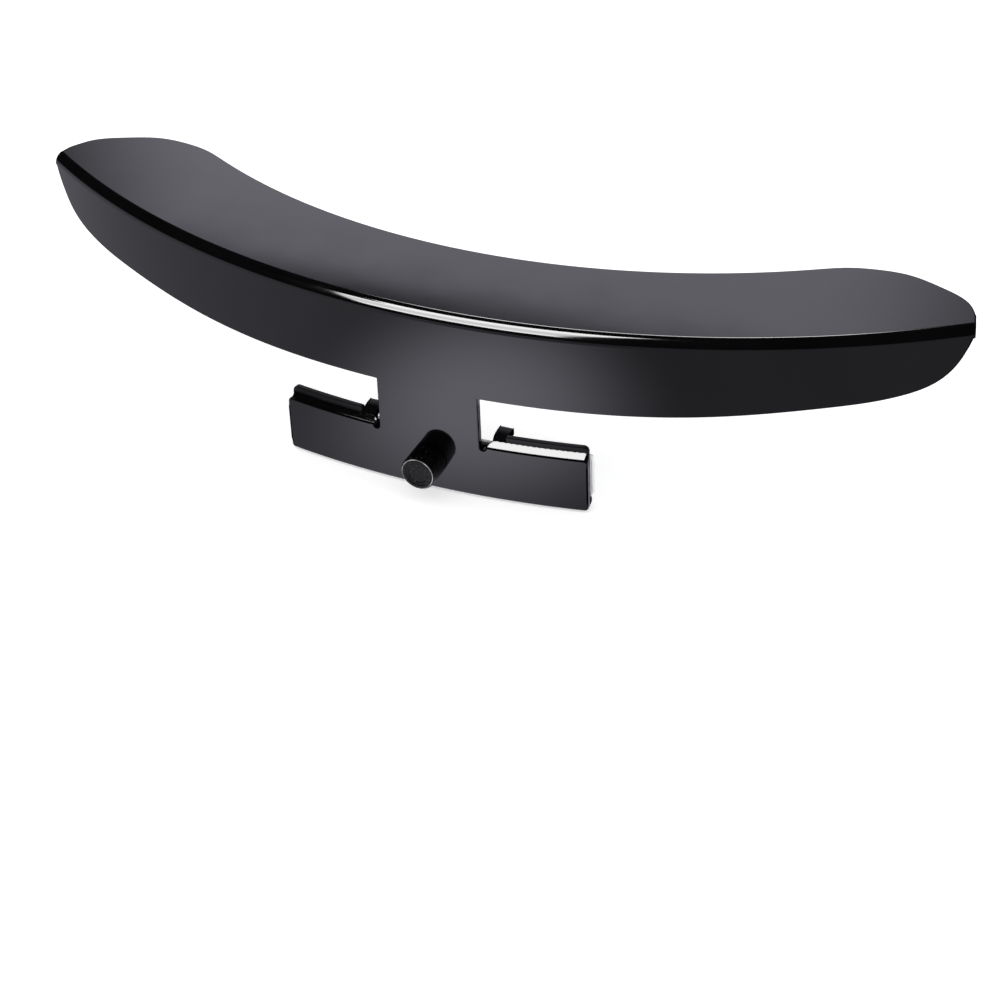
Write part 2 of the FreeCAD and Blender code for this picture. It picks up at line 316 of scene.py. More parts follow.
def rear_outline():
    """Right half of the top plate's rear edge in plan, from the middle to the tip."""
    centre_y = FRONT + PLATE_DEPTH + PLATE_REAR_RADIUS
    arc = [(x, centre_y - math.sqrt(PLATE_REAR_RADIUS ** 2 - x ** 2))
           for x in np.linspace(0, PLATE_ARC_END, 41)]
    ends = [(x, FRONT + y) for x, y in PLATE_END] + [(HALF_LENGTH, FRONT + SAGITTA)]
    turn = smooth_curve([arc[-1]] + ends, np.subtract(arc[-1], arc[-2]), (0.1, -1.0))
    return np.vstack([arc[:-1], turn])


REAR = rear_outline()
REAR_SHARE = np.concatenate([[0], np.cumsum(np.linalg.norm(np.diff(REAR, axis=0), axis=1))])
REAR_SHARE /= REAR_SHARE[-1]
TIP_POINT = on_ring(RING * math.sin(TIP_SHARE * TIP_ANGLE), TOP, RING)[0]
REAR_END = REAR_SHARE[np.argmax(REAR @ TIP_FACES[:2] > TIP_POINT @ TIP_FACES)]
LOWER = smooth_curve([(TONGUE, WALL_HEIGHT)] + WALL_END + [(HALF_LENGTH, 0.0)], (1.0, 0.0), (0.05, -1.0))


def wall_height(x):
    """Height of the front wall at x, below the top face."""
    return max(TIP_HEIGHT, float(np.interp(abs(x), LOWER[:, 0], LOWER[:, 1])))


def plate_rear(share):
    """Plan point on the top plate's rear edge that faces the station at that share of the half arc."""
    part = abs(share) / TIP_SHARE
    along = (part - REAR_LAG * part ** 2 * (1 - part)) * REAR_END
    x = np.interp(along, REAR_SHARE, REAR[:, 0])
    y = np.interp(along, REAR_SHARE, REAR[:, 1])
    return np.array([math.copysign(x, share), y, TOP])


def tip_slip(share, outward):
    """Slide along the arc, per millimetre behind the front face, that turns a section into the blunt end."""
    near = max(0.0, (abs(share) - TIP_BLEND) / (TIP_SHARE - TIP_BLEND))
    along = np.array([-outward[1], abs(outward[0]), 0.0])
    facing = np.array([abs(outward[0]), outward[1], 0.0])
    slip = near * near * (facing @ TIP_FACES) / (along @ TIP_FACES)
    return np.array([math.copysign(along[0], share), along[1], 0.0]) * slip


def crease_section(share, rows=12):
    """Cells round the crease at one station, from the wall up to the plate."""
    x = RING * math.sin(share * TIP_ANGLE)
    front, outward = on_ring(x, TOP, RING)
    radius = min(CREASE_RADIUS, 0.9 * wall_height(x))
    depth = min(WALL, 0.8 * radius)
    rounding = min(EDGE_ROUND, 0.4 * depth)
    up = np.array([0.0, 0.0, 1.0])
    slip = tip_slip(share, outward)
    cells = []
    for angle in np.linspace(0, math.pi / 2, rows + 1):
        behind = radius * (1 - math.cos(angle))
        point = front - outward * behind + slip * behind - up * radius * (1 - math.sin(angle))
        cells.append((point, outward * math.cos(angle) + up * math.sin(angle), depth, rounding))
    return cells


def shell_column(share, wall_rows=9, plate_rows=12):
    """Cells from the wall's lower edge, up over the crease and back to the plate's rear edge."""
    crease = crease_section(share)
    x = RING * math.sin(share * TIP_ANGLE)
    depth, rounding = crease[0][2:]
    wall = [(*on_ring(x, z, RING), depth, rounding)
            for z in np.linspace(TOP - wall_height(x), crease[0][0][2], wall_rows + 1)[:-1]]
    start, up = crease[-1][:2]
    rear = plate_rear(share)
    plate = [(start + (rear - start) * t, up, depth, rounding) for t in np.linspace(0, 1, plate_rows + 1)[1:]]
    return wall + crease + plate


def tongue_stations():
    return list(np.linspace(-TONGUE, TONGUE, 15))


def shell_shares(steps=72):
    """Stations along the arc as shares of its half, close together towards the tips."""
    inner = math.asin(TONGUE / RING) / TIP_ANGLE
    out = [inner + (TIP_SHARE - inner) * math.sin(k / steps * math.pi / 2) for k in range(1, steps + 1)]
    middle = [math.asin(x / RING) / TIP_ANGLE for x in tongue_stations()]
    return [-s for s in reversed(out)] + middle + out


def corner_stations(end, radius, steps=6):
    """Stations across a rounded corner that ends at x = end."""
    return [end - radius + radius * math.sin(k / steps * math.pi / 2) for k in range(steps + 1)]


def corner_drop(x, end, radius):
    """How far a rounded corner has fallen away at x."""
    past = max(0.0, abs(x) - (end - radius))
    return radius - math.sqrt(max(0.0, radius ** 2 - past ** 2))


def foot_top(x):
    across = abs(x) - TONGUE - RELIEF
    dip = math.sqrt(max(0.0, RELIEF ** 2 - across ** 2))
    return FOOT_TOP - dip - corner_drop(x, FOOT_HALF_WIDTH, FOOT_CORNER)


def foot_stations():
    relief = [TONGUE + RELIEF * (1 - math.cos(k / 10 * math.pi)) for k in range(1, 11)]
    wing = list(np.linspace(TONGUE + 2 * RELIEF, FOOT_HALF_WIDTH - FOOT_CORNER, 14))[1:-1]
    side = relief + wing + corner_stations(FOOT_HALF_WIDTH, FOOT_CORNER)
    return [-x for x in reversed(side)] + tongue_stations() + side


def ledge_ramp(way):
    """Sloping top of the foot, from its front face up to the wing of the carrier."""
    rise = RAMP_TOP - FOOT_TOP
    run = WALL - RAMP_FRONT
    lean = math.atan2(rise, run)
    sheet = Sheet()
    columns = []
    for x in sorted(way * x for x in np.linspace(TONGUE + 2 * RELIEF, FOOT_HALF_WIDTH - FOOT_CORNER, 90)):
        ragged = RAMP_WANDER * math.sin(7.3 * x) * math.sin(2.9 * x + 1)
        swell = min(1.0, (abs(x) - TONGUE - 2 * RELIEF) / RAMP_RUN_IN) ** 0.5
        column = []
        for share in (0.0, 0.4, 0.7, 1.0):
            height = FOOT_TOP + swell * (rise * share + ragged * share ** 2)
            point, outward = on_ring(x, height, RING - RAMP_FRONT - run * share)
            normal = outward * math.sin(lean) + np.array([0.0, 0.0, math.cos(lean)])
            column.append((point, normal, RAMP_THICKNESS, RAMP_ROUND))
        columns.append(column)
    sheet.patch(columns)
    return sheet.solid("ledge_ramp")


def build_shell():
    """The moulding: plate, crease, wall, tongue and foot as one skin."""
    sheet = Sheet()
    sheet.patch([shell_column(share) for share in shell_shares()])
    sheet.band(tongue_stations(), lambda x: FOOT_TOP, lambda x: TOP - WALL_HEIGHT, 7, RING, WALL, EDGE_ROUND)
    sheet.band(foot_stations(), lambda x: FOOT_BOTTOM + corner_drop(x, FOOT_HALF_WIDTH, FOOT_CORNER),
               foot_top, 7, RING, WALL, EDGE_ROUND)
    return sheet.solid("shell_skin")


def build_edges():
    """The edges that catch the light: a film of polish over the crease and the foot's two sloping tops."""
    film = Sheet()
    sections = [crease_section(share) for share in shell_shares()]
    film.patch([[(point + normal * FILM, normal, FILM, FILM / 3) for point, normal, *_ in cells]
                for cells in sections])
    return joined("shell_edges", [film.solid("crease_film"), ledge_ramp(-1), ledge_ramp(1)])


# ---------------------------------------------------------------- carrier

def mirrored(stations):
    return [-x for x in reversed(stations)] + [x for x in stations if x > 0]


def rail_low(x):
    """Lower edge of the rail: lifted along the groove, down on the bridges and at the ends."""
    gap = min(abs(abs(x) - BRIDGE[0]), abs(abs(x) - BRIDGE[1]), abs(abs(x) - GROOVE_END))
    inside = abs(x) < BRIDGE[0] or BRIDGE[1] < abs(x) < GROOVE_END
    lift = GROOVE_DEPTH * math.sqrt(max(0.0, 1 - max(0.0, 1 - gap / GROOVE_RUN_OUT) ** 2)) if inside else 0.0
    return FOOT_BOTTOM + lift


def rail_stations():
    """Right half of the rail's stations, close together where the groove runs out."""
    side = [*np.linspace(0, WING_INNER, 12), *np.linspace(BRIDGE[0] + 0.8, BRIDGE[1] - 0.8, 6),
            *np.linspace(BRIDGE[1] + 1.3, GROOVE_END - 1.2, 6), GROOVE_END + 0.4, RAIL_HALF_WIDTH]
    for edge, way in ((BRIDGE[0], -1), (BRIDGE[1], 1), (GROOVE_END, -1)):
        side += [edge + way * GROOVE_RUN_OUT * share for share in (0, 0.1, 0.3, 0.6, 1)]
    return sorted(side)


def rail_body():
    """Plate of the rail with its two raised wings."""
    side = rail_stations()
    sheet = Sheet()
    sheet.band(mirrored(side), rail_low, lambda x: RAIL_TOP, 6, RAIL_FRONT, RAIL_THICKNESS, RAIL_ROUND)
    wing_side = [x for x in side if x >= WING_INNER - 1e-6]

    def wing_top(x):
        inner = max(0.0, WING_INNER + WING_INNER_ROUND - abs(x))
        lifted = WING_TOP - WING_INNER_ROUND + math.sqrt(max(0.0, WING_INNER_ROUND ** 2 - inner ** 2))
        return lifted - corner_drop(x, RAIL_HALF_WIDTH, WING_CORNER)

    extra = [WING_INNER + WING_INNER_ROUND * (1 - math.cos(k / 4 * math.pi / 2)) for k in range(1, 5)]
    extra += corner_stations(RAIL_HALF_WIDTH, WING_CORNER)[:-1]
    fine = sorted(set(wing_side + extra))
    for way in (-1, 1):
        xs = sorted(way * x for x in fine)
        sheet.band(xs, lambda x: RAIL_TOP, wing_top, 3, RAIL_FRONT, RAIL_THICKNESS, RAIL_ROUND)
    return sheet.solid("rail")


def ledge_body():
    """Heel along the bottom of the rail, behind the groove, with the ledge that the tape stands on."""
    sheet = Sheet()
    ends = corner_stations(RAIL_HALF_WIDTH, LEDGE_CORNER, 4)
    stations = mirrored(list(np.linspace(0, RAIL_HALF_WIDTH - LEDGE_CORNER, 28))[:-1] + ends)
    sheet.band(stations, lambda x: FOOT_BOTTOM + corner_drop(x, RAIL_HALF_WIDTH, LEDGE_CORNER),
               lambda x: FOOT_BOTTOM + LEDGE_HEIGHT - corner_drop(x, RAIL_HALF_WIDTH, LEDGE_CORNER), 3,
               RAIL_FRONT - GROOVE_WIDTH, RAIL_THICKNESS - GROOVE_WIDTH + LEDGE_REACH, LEDGE_ROUND)
    return sheet.solid("ledge")


def finger_body(way):
    """Hook finger: rises from the rail, bends back and reaches over the tape's upper edge."""
    face = AXIS_Y - math.sqrt(RAIL_FRONT ** 2 - WING_INNER ** 2)
    outer = smooth_curve([(face + 0.05, RAIL_TOP - 1.2), (face + 0.1, RAIL_TOP + 0.4),
                          (face + 0.7, FINGER_TOP - 0.9), (face + 1.9, FINGER_TOP - 0.2),
                          (face + 3.2, FINGER_TOP), (face + FINGER_REACH, FINGER_TOP)], (0, 1), (1, 0), 4)
    floor = FINGER_TOP - FINGER_THICKNESS
    inner = smooth_curve([(face + RAIL_THICKNESS, RAIL_TOP - 1.2), (face + RAIL_THICKNESS, RAIL_TOP),
                          (face + RAIL_THICKNESS + 0.3, floor - 0.35), (face + 2.7, floor),
                          (face + 3.6, floor), (face + FINGER_REACH, floor)], (0, 1), (1, 0), 4)
    right = max(way * WING_INNER, way * (WING_INNER - FINGER_WIDTH))
    across = np.array([1.0, 0.0, 0.0])
    columns = []
    for low, high in zip(inner, outer):
        columns.append([(np.array([right, *(low + (high - low) * t)]), across, FINGER_WIDTH, FINGER_ROUND)
                        for t in (0, 0.5, 1)])
    sheet = Sheet()
    sheet.patch(columns[::-1])
    return sheet.solid("finger")


def panel_border(way):
    """Low bead round the shallow panel on the rear of a wing."""
    low, high = RAIL_TOP + 0.95, WING_TOP - 0.55
    left, right = WING_INNER + 1.2, RAIL_HALF_WIDTH - 1.6
    radius = RAIL_FRONT - RAIL_THICKNESS
    sheets = []
    for x0, x1, z0, z1, steps in ((left, right, high, high + BEAD_WIDTH, 14),
                                  (left, right, low - BEAD_WIDTH, low, 14),
                                  (left, left + BEAD_WIDTH, low, high, 2),
                                  (right - BEAD_WIDTH, right, low, high, 2)):
        sheet = Sheet()
        xs = sorted(way * x for x in np.linspace(x0, x1, steps))
        sheet.band(xs, lambda x: z0, lambda x: z1, 2, radius + BEAD_HEIGHT, BEAD_WIDTH, BEAD_ROUND)
        sheets.append(sheet.solid("bead"))
    return sheets


def build_carrier():
    """Rail, wings, ledge, hook fingers and snap bosses as one moulding."""
    pieces = [rail_body(), ledge_body()]
    for way in (-1, 1):
        pieces.append(finger_body(way))
        pieces += panel_border(way)
        y = AXIS_Y - math.sqrt(RAIL_FRONT ** 2 - BOSS_X ** 2)
        dome = [(BOSS_RADIUS * math.cos(a), BOSS_HEIGHT * math.sin(a)) for a in np.linspace(0, 1.45, 9)]
        profile = [(BOSS_RADIUS, -0.3)] + dome
        pieces.append(lathe("boss", profile, (way * BOSS_X, y, FOOT_BOTTOM), (0, 0, -1), 48))
    return joined("carrier_moulding", pieces)


# ---------------------------------------------------------------- tape

def tape_sheet(name, radius, thickness, half_length, low, high, slot, rounding, wander):
    """Strip with a slot from its lower edge up round the pin. Its cut edges wander a little."""
    sheet = Sheet()

    def edge(x, phase):
        return wander * (math.sin(x * 0.31 + phase) + 0.6 * math.sin(x * 0.83 + 2 * phase))

    def bottom(x):
        return low + edge(x, 0.4) + corner_drop(x, half_length, TAPE_CORNER)

    def top(x):
        return high + edge(x, 2.1) - corner_drop(x, half_length, TAPE_CORNER)

    def half_slot(x):
        return math.sqrt(max(0.0, slot ** 2 - x ** 2))

    neck = min(SLOT_HALF_WIDTH, slot)
    side = list(np.linspace(slot, half_length - TAPE_CORNER, 30))[:-1]
    side += corner_stations(half_length, TAPE_CORNER, 5)
    arch = [neck + (slot - neck) * math.sin(k / 6 * math.pi / 2) for k in range(7)]
    crown = [neck * math.sin(k / 10 * math.pi / 2) for k in range(11)]
    over = sorted(set(crown + arch))
    layer = (5, radius, thickness, rounding)
    for way in (-1, 1):
        sheet.band(sorted(way * x for x in side), bottom, lambda x: 0.0, *layer)
        sheet.band(sorted(way * x for x in arch), bottom, lambda x: -half_slot(x), *layer)
        sheet.band(sorted(way * x for x in side), lambda x: 0.0, top, *layer)
    sheet.band(mirrored(over), half_slot, top, *layer)
    return sheet.solid(name)


def build_foam():
    return tape_sheet("foam_core", FOAM_FRONT, FOAM_THICKNESS, FOAM_HIGH.x, FOAM_LOW.z, FOAM_HIGH.z,
                      FOAM_SLOT_RADIUS, FOAM_ROUND, FOAM_WANDER)


def build_liner():
    return tape_sheet("liner_film", LINER_FRONT, LINER_THICKNESS, LINER_HIGH.x, LINER_LOW.z + LINER_SHORT[0],
                      LINER_HIGH.z - LINER_SHORT[1], SLOT_RADIUS, LINER_ROUND, LINER_WANDER)


# ---------------------------------------------------------------- pin

def build_pin():
    """Headed pin with soft chamfers, a raised ring on the head's end and a hollow in the shank's end."""
    head_end, shank_end = PIN_LOW.y, PIN_HIGH.y
    face = HEAD_RADIUS - 0.5
    head = [(0.3, head_end + 0.3), (2.5, head_end + 0.3), (2.62, head_end + 0.16), (3.2, head_end + 0.16),
            (3.32, head_end), (face - 0.1, head_end), (face + 0.03, head_end + 0.04),
            (HEAD_RADIUS - 0.1, head_end + 0.42), (HEAD_RADIUS, head_end + 0.6)]
    through = [(HEAD_RADIUS, FRONT - 0.25), (HEAD_RADIUS - 0.12, FRONT - 0.1),
               (PRESS_RADIUS, FRONT - 0.1), (PRESS_RADIUS, PRESS_END)]
    shank = [(SHANK_RADIUS, PRESS_END + 0.2), (SHANK_RADIUS, shank_end - 0.45),
             (SHANK_RADIUS - 0.07, shank_end - 0.3), (SHANK_RADIUS - 0.32, shank_end - 0.03),
             (SHANK_RADIUS - 0.45, shank_end), (2.45, shank_end), (2.35, shank_end - 0.18),
             (1.95, shank_end - 0.18), (1.85, shank_end - 0.24), (0.3, shank_end - 0.24)]
    profile = head + through + shank
    return lathe("pin_body", profile, (0, 0, 0), (0, 1, 0), 160)


# ---------------------------------------------------------------- materials

PALE_SPECK_GREY = (0.45, 0.45, 0.46)
# Grey of the dotted painted highlights inside the shell and on the wings' beads
PAINTED_GLINT_GREY = (0.5, 0.5, 0.5)
CUT_EDGE = (0.93, 0.94, 0.95)
SCUFF = (0.03, 0.025, 0.02)
SPECK = (0.22, 0.21, 0.20)
SCUFFS_BEGIN = (29.5 * MM, 31.5 * MM)       # where along X the liner's scuffs fade in, and out again
SCUFFS_END = (36.5 * MM, 38.0 * MM)
SCUFFS_ABOVE = (-2.5 * MM, -1.5 * MM)


def new_material(name):
    material = bpy.data.materials.new(name)
    material.use_nodes = True
    tree = material.node_tree
    shader = tree.nodes["Principled BSDF"]
    place = tree.nodes.new("ShaderNodeTexCoord")
    return material, tree, shader, place.outputs["Object"]


def stretched(tree, place, scale):
    """Object coordinates scaled per axis."""
    mapping = tree.nodes.new("ShaderNodeMapping")
    mapping.inputs["Scale"].default_value = scale
    tree.links.new(place, mapping.inputs["Vector"])
    return mapping.outputs["Vector"]


def noise(tree, place, scale, detail=3.0, roughness=0.5):
    node = tree.nodes.new("ShaderNodeTexNoise")
    node.inputs["Scale"].default_value = scale
    node.inputs["Detail"].default_value = detail
    node.inputs["Roughness"].default_value = roughness
    tree.links.new(place, node.inputs["Vector"])
    return node.outputs["Fac"]


def ramp(tree, value, stops):
    """Colour ramp with (position, colour) stops."""
    node = tree.nodes.new("ShaderNodeValToRGB")
    elements = node.color_ramp.elements
    while len(elements) < len(stops):
        elements.new(0.5)
    for element, (position, colour) in zip(elements, stops):
        element.position = position
        element.color = (*colour, 1.0)
    tree.links.new(value, node.inputs["Fac"])
    return node.outputs["Color"]


def spread(tree, value, low, high, start=0.3, end=0.7):
    """Value mapped from the range start to end on to the range low to high."""
    node = tree.nodes.new("ShaderNodeMapRange")
    for socket, number in (("From Min", start), ("From Max", end), ("To Min", low), ("To Max", high)):
        node.inputs[socket].default_value = number
    tree.links.new(value, node.inputs["Value"])
    return node.outputs["Result"]


def bump(tree, shader, layers):
    """Chain of bump nodes from (height, strength, distance in metres) layers."""
    previous = None
    for height, strength, distance in layers:
        node = tree.nodes.new("ShaderNodeBump")
        node.inputs["Strength"].default_value = strength
        node.inputs["Distance"].default_value = distance
        tree.links.new(height, node.inputs["Height"])
        if previous:
            tree.links.new(previous, node.inputs["Normal"])
        previous = node.outputs["Normal"]
    tree.links.new(previous, shader.inputs["Normal"])


def gloss_black():
    """Polished piano black: deep gloss, a trace of orange peel and faint haze."""
    material, tree, shader, place = new_material("shell_gloss")
    haze = noise(tree, place, 60.0, 4.0)
    colour = ramp(tree, haze, [(0.3, (0.0008, 0.0008, 0.001)), (0.75, (0.0016, 0.0016, 0.002))])
    tree.links.new(colour, shader.inputs["Base Color"])
    tree.links.new(spread(tree, haze, 0.045, 0.085), shader.inputs["Roughness"])
    shader.inputs["IOR"].default_value = 1.52
    bump(tree, shader, [(noise(tree, place, 220.0, 2.0), 0.05, 0.00002)])
    return material


def specks(tree, place, scale, size):
    """One where a small round speck sits, about one speck to each cell of 1/scale, and zero between."""
    cells = tree.nodes.new("ShaderNodeTexVoronoi")
    cells.inputs["Scale"].default_value = scale
    tree.links.new(place, cells.inputs["Vector"])
    return spread(tree, cells.outputs["Distance"], 1.0, 0.0, size, size * 1.4)


def blend(tree, factor, below, above):
    """Colour that goes from the socket below to the plain colour above as the factor rises."""
    mix = tree.nodes.new("ShaderNodeMix")
    mix.data_type = "RGBA"
    tree.links.new(factor, mix.inputs["Factor"])
    tree.links.new(below, mix.inputs["A"])
    mix.inputs["B"].default_value = (*above, 1.0)
    return mix.outputs["Result"]


def combined(tree, operation, first, second):
    """Result of a sum or a product of two sockets."""
    node = tree.nodes.new("ShaderNodeMath")
    node.operation = operation
    for socket, value in zip(node.inputs, (first, second)):
        tree.links.new(value, socket)
    return node.outputs[0]


def product(tree, first, second):
    return combined(tree, "MULTIPLY", first, second)


def size_of(tree, value):
    """The value without its sign."""
    node = tree.nodes.new("ShaderNodeMath")
    node.operation = "ABSOLUTE"
    tree.links.new(value, node.inputs[0])
    return node.outputs[0]


def band(tree, value, middle, half):
    """One near the middle value, fading over the outer part to zero at half from it. Millimetres."""
    offset = tree.nodes.new("ShaderNodeMath")
    offset.operation = "SUBTRACT"
    tree.links.new(value, offset.inputs[0])
    offset.inputs[1].default_value = middle * MM
    return spread(tree, size_of(tree, offset.outputs[0]), 1.0, 0.0, half * MM * 0.5, half * MM)


def coordinates(tree, place):
    """Sockets X, Y and Z of a point."""
    parts = tree.nodes.new("ShaderNodeSeparateXYZ")
    tree.links.new(place, parts.inputs["Vector"])
    return parts.outputs


def distance(tree, place, axes, shift=(0.0, 0.0, 0.0)):
    """Length of the shifted point's part along the axes marked 1."""
    mapping = tree.nodes.new("ShaderNodeMapping")
    mapping.inputs["Scale"].default_value = axes
    mapping.inputs["Location"].default_value = shift
    tree.links.new(place, mapping.inputs["Vector"])
    length = tree.nodes.new("ShaderNodeVectorMath")
    length.operation = "LENGTH"
    tree.links.new(mapping.outputs["Vector"], length.inputs[0])
    return length.outputs["Value"]


def from_ring_axis(tree, place):
    """Distance from the upright axis that the wall and the foot are curved round."""
    return distance(tree, place, (1.0, 1.0, 0.0), (0.0, -AXIS_Y * MM, 0.0))


def inner_corner(tree, place):
    """One along the inside corner of the L, where a fine dotted grey line is painted in as a highlight."""
    return product(tree, band(tree, coordinates(tree, place)["Z"], TOP - WALL - 0.25, 0.5),
                   band(tree, from_ring_axis(tree, place), RING - WALL - 0.25, 0.5))


def wing_beads(tree, place):
    """One on the beads that stand proud of the wings' rear faces, where a dotted highlight is painted."""
    proud = band(tree, from_ring_axis(tree, place), RAIL_FRONT - RAIL_THICKNESS - 0.11, 0.08)
    high = spread(tree, coordinates(tree, place)["Z"], 0.0, 1.0, RAIL_TOP * MM, (RAIL_TOP + 0.3) * MM)
    outside = spread(tree, distance(tree, place, (1.0, 0.0, 0.0)), 0.0, 1.0, WING_INNER * MM,
                     (WING_INNER + 0.5) * MM)
    return product(tree, product(tree, proud, high), outside)


def satin_black(name, roughness, shine, marks, painted_glint_mask):
    """Moulded black off a tool face: satin, with fine grain, upright tool marks, pale specks and a dotted
    painted highlight where the mask lies.
    """
    material, tree, shader, place = new_material(name)
    shader.inputs["Specular IOR Level"].default_value = shine
    cloud = noise(tree, place, 90.0, 5.0)
    grain = noise(tree, place, 2600.0, 3.0)
    upright = noise(tree, stretched(tree, place, (1100.0, 1100.0, 20.0)), 1.0, 3.0)
    colour = ramp(tree, cloud, [(0.3, (0.002, 0.002, 0.002)), (0.75, (0.006, 0.006, 0.007))])
    # Sparse pale grey specks
    specked = blend(tree, specks(tree, place, 210.0, 0.028), colour, PALE_SPECK_GREY)
    # Grey dots where the mask lies: a painted highlight
    dots = spread(tree, noise(tree, place, 900.0, 2.0), 0.0, 1.0, 0.5, 0.62)
    edged = blend(tree, product(tree, painted_glint_mask(tree, place), dots), specked, PAINTED_GLINT_GREY)
    tree.links.new(edged, shader.inputs["Base Color"])
    tree.links.new(spread(tree, cloud, roughness - 0.07, roughness + 0.09), shader.inputs["Roughness"])
    bump(tree, shader, [(grain, 0.3, 0.00006), (upright, marks, 0.00006)])
    return material


def white_foam():
    """Closed-cell foam core with a cut, pitted edge."""
    material, tree, shader, place = new_material("tape_foam")
    cells = tree.nodes.new("ShaderNodeTexVoronoi")
    cells.inputs["Scale"].default_value = 3200.0
    tree.links.new(place, cells.inputs["Vector"])
    colour = ramp(tree, cells.outputs["Distance"], [(0.1, (0.93, 0.94, 0.95)), (0.7, (0.74, 0.75, 0.77))])
    tree.links.new(colour, shader.inputs["Base Color"])
    tree.links.new(spread(tree, noise(tree, place, 400.0), 0.75, 0.95), shader.inputs["Roughness"])
    bump(tree, shader, [(cells.outputs["Distance"], 0.5, 0.0001)])
    return material


def liner_film():
    """Coated release liner: pale blue-grey with faint clouds, white cut edges, specks and a scuffed end."""
    material, tree, shader, place = new_material("tape_liner")
    where = coordinates(tree, place)
    clouds = noise(tree, stretched(tree, place, (55.0, 55.0, 130.0)), 1.0, 4.0)
    film = ramp(tree, clouds, [(0.3, (0.55, 0.60, 0.65)), (0.7, (0.68, 0.72, 0.75))])
    low, end = LINER_LOW.z, LINER_HIGH.x
    low_edge = spread(tree, where["Z"], 1.0, 0.0, (low + 0.45) * MM, (low + 0.75) * MM)
    end_edge = spread(tree, where["X"], 0.0, 1.0, (end - 0.7) * MM, (end - 0.4) * MM)
    edged = blend(tree, end_edge, blend(tree, low_edge, film, CUT_EDGE), CUT_EDGE)
    scuffed = spread(tree, noise(tree, place, 330.0, 5.0, 0.65), 0.0, 1.0, 0.585, 0.605)
    in_end = product(tree, spread(tree, where["X"], 0.0, 1.0, *SCUFFS_BEGIN),
                     spread(tree, where["X"], 1.0, 0.0, *SCUFFS_END))
    upper = spread(tree, where["Z"], 0.0, 1.0, *SCUFFS_ABOVE)
    scuffs = blend(tree, product(tree, product(tree, scuffed, in_end), upper), edged, SCUFF)
    dots = blend(tree, specks(tree, place, 300.0, 0.035), scuffs, SPECK)
    tree.links.new(dots, shader.inputs["Base Color"])
    tree.links.new(spread(tree, clouds, 0.34, 0.5), shader.inputs["Roughness"])
    bump(tree, shader, [(noise(tree, place, 1500.0, 3.0), 0.08, 0.00005)])
    return material


def matte_pin():
    """Coarse-grained matte black with pale specks on the grain's peaks, and pale rings at both ends painted
    in as highlights.
    """
    material, tree, shader, place = new_material("pin_matte")
    grain = noise(tree, place, 1900.0, 6.0, 0.75)
    colour = ramp(tree, grain, [(0.54, (0.0005, 0.0005, 0.0005)), (0.61, (0.006, 0.006, 0.006)),
                                (0.69, (0.15, 0.15, 0.16))])
    radius = distance(tree, place, (1.0, 0.0, 1.0))
    height = distance(tree, place, (0.0, 1.0, 0.0))
    painted_glint_mask = noise(tree, place, 700.0, 3.0)
    along = coordinates(tree, place)["Y"]
    front = spread(tree, along, 1.0, 0.0, -1.0 * MM, 0.0)
    rear = spread(tree, along, 0.0, 1.0, -1.0 * MM, 0.0)
    # Pale rings on the head's end and round the shank's end, broken up by noise: painted highlights
    for value, side, middle, half, highlight_grey in ((radius, front, HEAD_RADIUS - 0.45, 0.09, 0.5),
                                             (height, rear, PIN_HIGH.y - 0.42, 0.12, 0.4),
                                             (radius, rear, SHANK_RADIUS - 0.42, 0.09, 0.4)):
        ring = product(tree, band(tree, value, middle, half), spread(tree, painted_glint_mask, 0.3, 1.0, 0.4, 0.6))
        colour = blend(tree, product(tree, ring, side), colour, (highlight_grey, highlight_grey, highlight_grey))
    tree.links.new(colour, shader.inputs["Base Color"])
    tree.links.new(spread(tree, grain, 0.5, 0.3), shader.inputs["Roughness"])
    shader.inputs["Specular IOR Level"].default_value = 0.12
    bump(tree, shader, [(grain, 0.7, 0.00015)])
    return material


# ---------------------------------------------------------------- pieces on their bodies

def finish_piece(thing, body, node, slot, *materials):
    """Gives a piece its materials and body, and hides the CAD node it stands in for. The slot argument is not
    used.
    """
    thing.data.materials.clear()
    for material in materials:
        thing.data.materials.append(material)
    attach(thing, body)
    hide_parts(node)


def build_pieces():
    # Dotted highlights are painted on the carrier's beads and along the shell's inner corner
    carrier = satin_black("carrier_satin", 0.30, 0.2, 0.05, wing_beads)
    gloss = gloss_black()
    inside = satin_black("shell_inside", 0.27, 0.5, 0.22, inner_corner)
    finish_piece(build_shell(), "trim", "crescent_shell", "shell_gloss", gloss, inside)
    edges = build_edges()
    finish_piece(edges, "trim", "crescent_shell", "shell_gloss", gloss, gloss)
    finish_piece(build_carrier(), "trim", "foot_carrier", "carrier_satin", carrier, carrier)
    foam = white_foam()
    finish_piece(build_foam(), "trim", "foam_tape", "tape_foam", foam, foam)
    liner = liner_film()
    finish_piece(build_liner(), "liner", "release_liner", "tape_liner", liner, liner)
    finish_piece(build_pin(), "trim", "locating_pin", "pin_matte", matte_pin())
    return edges


# ---------------------------------------------------------------- studio

FLOOR_DROP = 0.6            # floor below the foot
WORLD_LIGHT = 1.1
FLOOR_GLOW = 0.45
TENT = 3000.0               # half width of the nearly black tent that reflections see
TABLE_LIFT = 0.1            # the table that reflections see, above the floor
SHEEN_PLACE = (3.0, -46.0)      # where the table's reflection is brightest
SHEEN_SPREAD = (30.0, 28.0)
SHEEN_LIGHT = 1.85
SHEEN_REACH = 2.6               # in spreads
TABLE_LIGHT = (0.46, 0.29)      # at the two ends of its span
TABLE_SPAN = (-0.09, 0.07)      # metres along X
TABLE_TINT = (0.98, 0.96, 1.10)
TENT_GLOW = 0.02
FLOOR_HALF = 6000.0
WHITE = (1.0, 1.0, 1.0)
BACK_TINT = (0.97, 0.96, 1.10)
